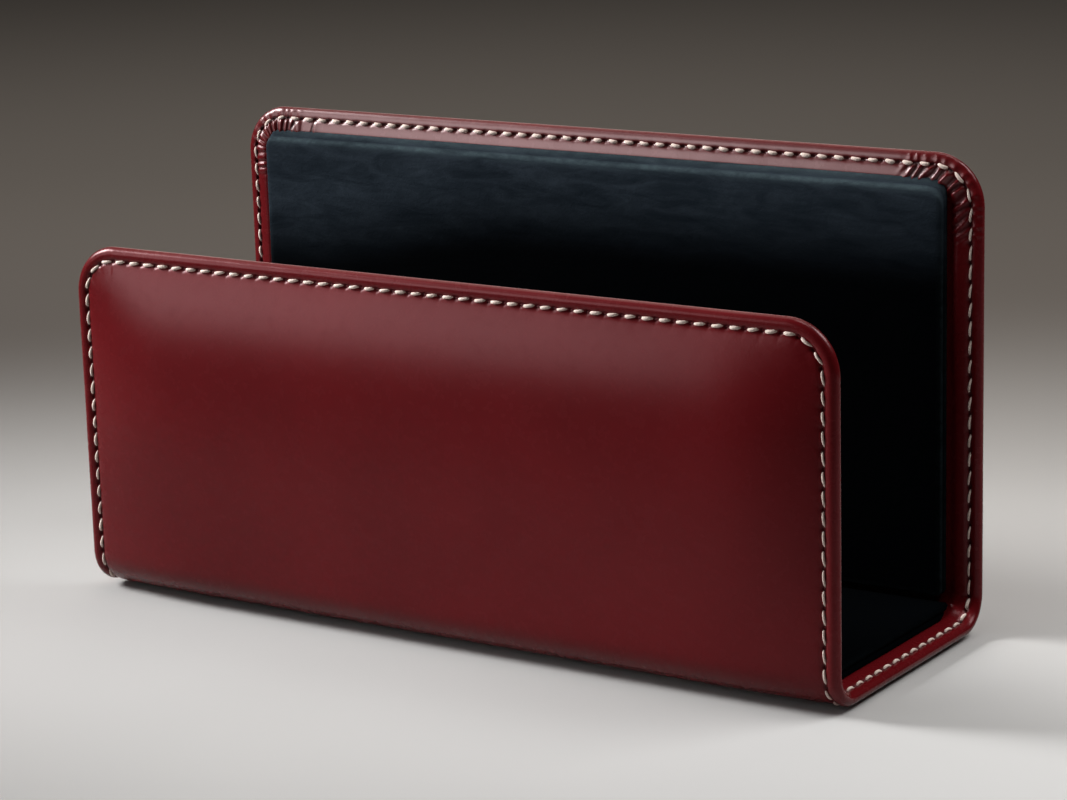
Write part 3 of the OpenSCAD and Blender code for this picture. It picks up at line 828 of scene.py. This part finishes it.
def burgundy_leather():
    finish, tree, shader, place = new_finish("burgundy_leather")
    cloud = noise(tree, place, 20, 3)
    colour = ramp(tree, cloud, ((0.3, (0.094, 0.0031, 0.0049)), (0.7, (0.123, 0.0046, 0.0069))))
    speck = noise(tree, place, 900, 2)
    colour = mix(tree, between(tree, speck, 0.0, 0.22), colour, (0.135, 0.008, 0.011, 1))
    # Painted shade: the crease mark darkens the colour in grooves, needle holes, gathers and creases.
    crease_shade = add(tree, "ShaderNodeAttribute", attribute_name="mark").outputs["Fac"]
    colour = mix(tree, sum_of(tree, crease_shade, 0.85, "MULTIPLY"), colour, (0.012, 0.0008, 0.0012, 1))
    cells = add(tree, "ShaderNodeTexVoronoi", {"Vector": place, "Scale": 1500.0, "Randomness": 1.0})
    pores = cells.outputs["Distance"]
    fine = noise(tree, place, 2600, 2)
    drape = noise(tree, place, 130, 2)
    normal = bump(tree, drape, 0.00012, 0.1)
    normal = bump(tree, pores, 0.00003, 0.35, normal)
    normal = bump(tree, fine, 0.00002, 0.3, normal)
    rough = between(tree, noise(tree, place, 300, 3), 0.23, 0.31)
    rough = sum_of(tree, rough, sum_of(tree, crease_shade, 0.25, "MULTIPLY"))
    burnish = add(tree, "ShaderNodeAttribute", attribute_name="burnish").outputs["Fac"]
    set_shader(tree, shader, Base_Color=colour, Roughness=rough, Specular_IOR_Level=0.26,
               Specular_Tint=(1.0, 0.54, 0.57, 1), Coat_Weight=sum_of(tree, burnish, 0.95, "MULTIPLY"),
               Coat_Roughness=0.32, Coat_IOR=1.62, Coat_Tint=(1.0, 0.72, 0.73, 1), Normal=normal)
    return finish


def cream_thread():
    finish, tree, shader, place = new_finish("cream_thread")
    along = add(tree, "ShaderNodeAttribute", attribute_name="thread_along").outputs["Fac"]
    round_ = add(tree, "ShaderNodeAttribute", attribute_name="thread_round").outputs["Fac"]
    turns = sum_of(tree, sum_of(tree, along, 5.0, "MULTIPLY"), sum_of(tree, round_, 2.0, "MULTIPLY"))
    turns = sum_of(tree, turns, 2 * math.pi, "MULTIPLY")
    strand = add(tree, "ShaderNodeMath", {0: turns}, operation="SINE").outputs[0]
    strand = between(tree, strand, 0.0, 1.0)
    tone = mix(tree, noise(tree, place, 500, 2), (0.93, 0.78, 0.70, 1), (0.85, 0.68, 0.60, 1))
    # Painted shade: the grooves between the twisted strands are darkened.
    tone = mix(tree, between(tree, strand, 0.7, 1.0), (0.5, 0.37, 0.3, 1), tone)
    normal = bump(tree, strand, 0.00006, 0.4)
    normal = bump(tree, noise(tree, place, 6000, 2), 0.00003, 0.5, normal)
    set_shader(tree, shader, Base_Color=tone, Roughness=0.62, Specular_IOR_Level=0.35, Sheen_Weight=0.15,
               Normal=normal)
    return finish


def dark_suede():
    finish, tree, shader, place = new_finish("dark_suede")
    brushed = noise(tree, stretched(tree, place, (60, 110, 260), (0, math.radians(9), 0)), 1.0, 5, 0.62, 0.8)
    mottle = noise(tree, stretched(tree, place, (300, 300, 420)), 1.0, 4, 0.6, 0.6)
    nap = noise(tree, place, 1800, 3)
    colour = ramp(tree, brushed, ((0.32, (0.0012, 0.0018, 0.0029)), (0.68, (0.0050, 0.0069, 0.0103))))
    colour = mix(tree, between(tree, mottle, 0.0, 0.8), colour, (0.0014, 0.0021, 0.0033, 1))
    colour = mix(tree, between(tree, nap, 0.0, 0.5), colour, (0.0013, 0.0020, 0.0031, 1))
    # Painted shade: the suede is lightened high on the walls and darkened to near black below, between 92
    # and 119 mm up, with the dark zone about 12 mm lower at the left; it stands in for the front panel's
    # shadow and the shade deep in the U.
    across = add(tree, "ShaderNodeSeparateXYZ", {0: place}).outputs
    height = sum_of(tree, across["Z"], eased(tree, across["X"], -0.02, -0.10, 0.0, 0.012))
    colour = mix(tree, 1.0, colour, (8.2, 7.8, 6.8, 1), "MULTIPLY")
    colour = mix(tree, eased(tree, height, 0.092, 0.119), (0.0002, 0.0003, 0.0005, 1), colour)
    # Painted highlight, partly edge wear: the marked lips, bevels and edges turn a pale teal, in uneven
    # patches.
    rub_and_highlight = add(tree, "ShaderNodeAttribute", attribute_name="mark").outputs["Fac"]
    patchiness = sum_of(tree, eased(tree, mottle, 0.3, 0.7, 0.55, 1.15),
                  eased(tree, brushed, 0.3, 0.7, 0.6, 1.1), "MULTIPLY")
    rub_and_highlight = sum_of(tree, sum_of(tree, rub_and_highlight, between(tree, nap, 0.5, 1.0), "MULTIPLY"), patchiness, "MULTIPLY")
    colour = mix(tree, rub_and_highlight, colour, (0.058, 0.084, 0.094, 1))
    normal = bump(tree, brushed, 0.0003, 0.35)
    normal = bump(tree, mottle, 0.00025, 0.4, normal)
    normal = bump(tree, nap, 0.00012, 0.7, normal)
    set_shader(tree, shader, Base_Color=colour, Roughness=0.95, Specular_IOR_Level=0.02,
               Specular_Tint=(0.5, 0.74, 1.0, 1), Normal=normal)
    return finish


def fibre_finish(name, light, dark, scale, rough=0.9, sheen=0.0, depth=0.0002, layers=(1, 1, 1)):
    """A matte stuff of fibres or cells: board, card, foam, wadding or felt."""
    finish, tree, shader, place = new_finish(name)
    fleck = noise(tree, stretched(tree, place, tuple(scale * k for k in layers)), 1.0, 4, 0.65)
    cloud = noise(tree, place, 40, 3)
    colour = ramp(tree, fleck, ((0.3, dark), (0.7, light)))
    colour = mix(tree, between(tree, cloud, 0.0, 0.35), colour, (*dark, 1))
    set_shader(tree, shader, Base_Color=colour, Roughness=rough, Specular_IOR_Level=0.2, Sheen_Weight=sheen,
               Normal=bump(tree, fleck, depth, 0.6))
    return finish


def dress(piece, finish, slot, *nodes):
    """Gives a made piece its finish and its body, and hides the solids that it stands for. The slot is not
    used.
    """
    if not piece.data.materials:
        piece.data.materials.append(finish)
    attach(piece, BODY)
    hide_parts(*nodes)


# The pieces
leather = burgundy_leather()
thread = cream_thread()
suede = dark_suede()
foam = fibre_finish("foam_cells", (0.70, 0.66, 0.56), (0.55, 0.50, 0.40), 900)
wadding = fibre_finish("wadding_fibres", (0.82, 0.81, 0.77), (0.66, 0.65, 0.60), 700, sheen=0.2)
felt = fibre_finish("black_felt", (0.030, 0.026, 0.024), (0.012, 0.010, 0.009), 1500, sheen=0.25)
board = fibre_finish("grey_board", (0.30, 0.28, 0.24), (0.18, 0.165, 0.14), 500, layers=(1, 1, 2))
card = fibre_finish("kraft_card", (0.50, 0.37, 0.22), (0.36, 0.25, 0.13), 700, layers=(1, 0.4, 1))
core = fibre_finish("core_fibreboard", (0.14, 0.125, 0.11), (0.07, 0.062, 0.055), 600)

cover = leather_cover()
dress(cover, leather, "leather", "leather_cover")

foam_start = seam_in + foam_inset
foam_end = arc_len * foam_fold_share
for name, start, end in (("front_padding", foam_start, s_front + foam_end),
                         ("back_padding", s_back - foam_end, sheet_len - foam_start)):
    pad = foam_pad(name + "_foam", start, end)
    dress(pad, foam, "foam", name)

sewing_tree = stitch_tree()
for name, side, seed in (("outer_stitches", 1, 7), ("inner_stitches", -1, 8)):
    dress(seam_stitches(name + "_thread", side, sewing_tree, thread, seed), thread, "thread", name)

front_len = front_cloth_high[2] - lining_low
back_len = back_cloth_high[2] - lining_low
base_w = lining_w + base_set_out
for side, half_w, length, place, rub_and_light, seed in (("front", lining_w, front_len, on_front, 1.0, 31),
                                                ("back", lining_w, back_len, on_back, 1.0, 33),
                                                ("base", base_w, 2 * base_half, on_base, 0.1, 35)):
    cloth = cloth_panel(side + "_lining_suede", half_w, length, lining_t, place, rub_and_light, seed)
    dress(cloth, suede, "lining_cloth", side + "_lining_cloth")
    stiffener = lining_layer(side + "_lining_stiffener", half_w, length, place, cloth_t + board_room,
                             cloth_t + 0.1, cloth_t + board_t)
    dress(stiffener, board, "lining_board", side + "_lining_board")
    pad = lining_layer(side + "_lining_padding", half_w, length, place, cloth_t + wadding_room,
                       cloth_t + board_t + 0.1, lining_t - cloth_t - lining_puff - 0.15)
    dress(pad, wadding, "wadding", side + "_lining_wadding")

sole = base_felt()
dress(sole, felt, "felt", "base_felt")

cards = [(side + "_infill_card", card) for side in ("front", "base", "back")]
for name, finish in [("core_sheet", core)] + cards:
    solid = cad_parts[name]
    solid.data.materials.clear()
    solid.data.materials.append(finish)


# The stage
def stage_floor():
    finish, tree, shader, place = new_finish("pale_floor")
    tone = noise(tree, place, 6, 2)
    colour = ramp(tree, tone, ((0.3, (0.49, 0.486, 0.479)), (0.7, (0.515, 0.511, 0.504))))
    depth = add(tree, "ShaderNodeSeparateXYZ", {0: place}).outputs["Y"]
    colour = mix(tree, eased(tree, depth, -0.12, 0.5), colour, (0.56, 0.54, 0.51, 1))
    path = add(tree, "ShaderNodeLightPath").outputs
    seen = sum_of(tree, path["Is Camera Ray"], path["Is Glossy Ray"], "MAXIMUM")
    seen = sum_of(tree, seen, path["Is Transmission Ray"], "MAXIMUM")
    colour = mix(tree, seen, (0.30, 0.294, 0.286, 1), colour)
    set_shader(tree, shader, Base_Color=colour, Roughness=0.85, Specular_IOR_Level=0.1)
    mesh = bpy.data.meshes.new("floor")
    reach = 4.0
    corners = [(-reach, -reach, 0), (reach, -reach, 0), (reach, reach, 0), (-reach, reach, 0)]
    mesh.from_pydata(corners, [], [(0, 1, 2, 3)])
    mesh.materials.append(finish)
    floor = bpy.data.objects.new("floor", mesh)
    bpy.context.scene.collection.objects.link(floor)


def panel_light(name, place, target, size, power, spread, colour=(1, 1, 1)):
    lamp = bpy.data.lights.new(name, "AREA")
    lamp.shape = "RECTANGLE"
    lamp.size, lamp.size_y = size
    lamp.energy = power
    lamp.color = colour
    lamp.spread = math.radians(spread)
    light = bpy.data.objects.new(name, lamp)
    light.location = place
    light.rotation_euler = (Vector(target) - Vector(place)).to_track_quat("-Z", "Y").to_euler()
    light.visible_camera = False
    bpy.context.scene.collection.objects.link(light)


def studio():
    world = bpy.data.worlds.new("studio")
    world.use_nodes = True
    sky = next(n for n in world.node_tree.nodes if n.type == "BACKGROUND")
    sky.inputs["Color"].default_value = (1.0, 0.9, 0.82, 1)
    sky.inputs["Strength"].default_value = 0.015
    bpy.context.scene.world = world
    panel_light("front_panel", (-0.25, -0.35, 0.19), (0.02, -0.04, 0.15), (0.30, 0.22), 0.112, 60)
    panel_light("left_panel", (-0.72, -0.22, 0.47), (-0.08, -0.04, 0.07), (0.3, 0.3), 0.78, 39)
    panel_light("top_panel", (0.02, -0.06, 1.0), (0.02, -0.06, 0.0), (0.25, 0.2), 0.06, 40)
    panel_light("right_panel", (0.40, 0.14, 0.5), (0.30, 0.0, 0.0), (0.3, 0.3), 0.8, 95)
    panel_light("far_panel", (-0.34, 0.4, 1.05), (-0.34, 0.4, 0.0), (1.1, 1.0), 2.8, 180, (1, 0.9, 0.82))
    panel_light("back_panel", (-0.5, 0.85, 0.40), (0.0, 0.0, 0.11), (0.9, 0.4), 0.145, 50, (1, 0.84, 0.79))


# The camera, fitted to the edges in the photograph
camera_place = (0.46797, -0.69733, 0.25870)
camera_azimuth = 33.5704
camera_elevation = 13.3534
camera_roll = -1.5681
camera_lens = 106.913
sensor_width = 36.0


def camera():
    azimuth, elevation, roll = (math.radians(a) for a in (camera_azimuth, camera_elevation, camera_roll))
    back = Vector((math.sin(azimuth) * math.cos(elevation), -math.cos(azimuth) * math.cos(elevation),
                   math.sin(elevation)))
    right = Vector((math.cos(azimuth), math.sin(azimuth), 0))
    up = back.cross(right)
    right, up = (math.cos(roll) * right + math.sin(roll) * up, math.cos(roll) * up - math.sin(roll) * right)
    lens = bpy.data.cameras.new("camera")
    lens.lens, lens.sensor_width, lens.sensor_fit = camera_lens, sensor_width, "HORIZONTAL"
    lens.clip_start, lens.clip_end = 0.02, 20
    view = bpy.data.objects.new("camera", lens)
    turn = Matrix((right, up, back)).transposed()
    view.matrix_world = Matrix.Translation(camera_place) @ turn.to_4x4()
    bpy.context.scene.collection.objects.link(view)
    bpy.context.scene.camera = view


stage_floor()
studio()
camera()
bpy.context.scene.view_settings.view_transform = "Standard"
